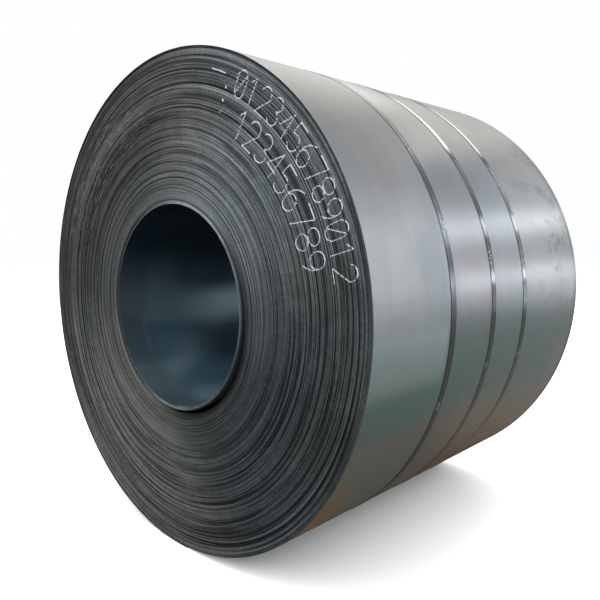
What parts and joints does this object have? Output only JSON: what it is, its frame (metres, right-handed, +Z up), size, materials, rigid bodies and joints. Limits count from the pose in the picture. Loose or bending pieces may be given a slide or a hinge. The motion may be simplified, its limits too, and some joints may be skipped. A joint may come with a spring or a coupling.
{
  "type": "steel coil",
  "caption": "Coil of hot-rolled steel strip wound round an open eye, held by steel straps with crimped seals, lying on its side.",
  "frame": {"origin": "on the floor, under the middle of the coil as it lies on its side", "axes": "+Z up, Y along the coil's axis through the eye, -Y out of the front end, +X to the right of that end"},
  "size_m": [1.8718, 1.514, 1.8718],
  "materials": {
    "coil_steel": "hot-rolled and skin-passed steel, grey and softly shiny, with darker streaked ends",
    "strap_steel": "dark blued and waxed strapping, worn bright in places",
    "seal_steel": "bare sheet steel, crimped"
  },
  "bodies": {
    "root": {"coil": "coil_steel", "strap_front": "strap_steel", "strap_middle": "strap_steel", "strap_back": "strap_steel", "seal_front": "seal_steel", "seal_middle": "seal_steel", "seal_back": "seal_steel"}
  },
  "joints": []
}
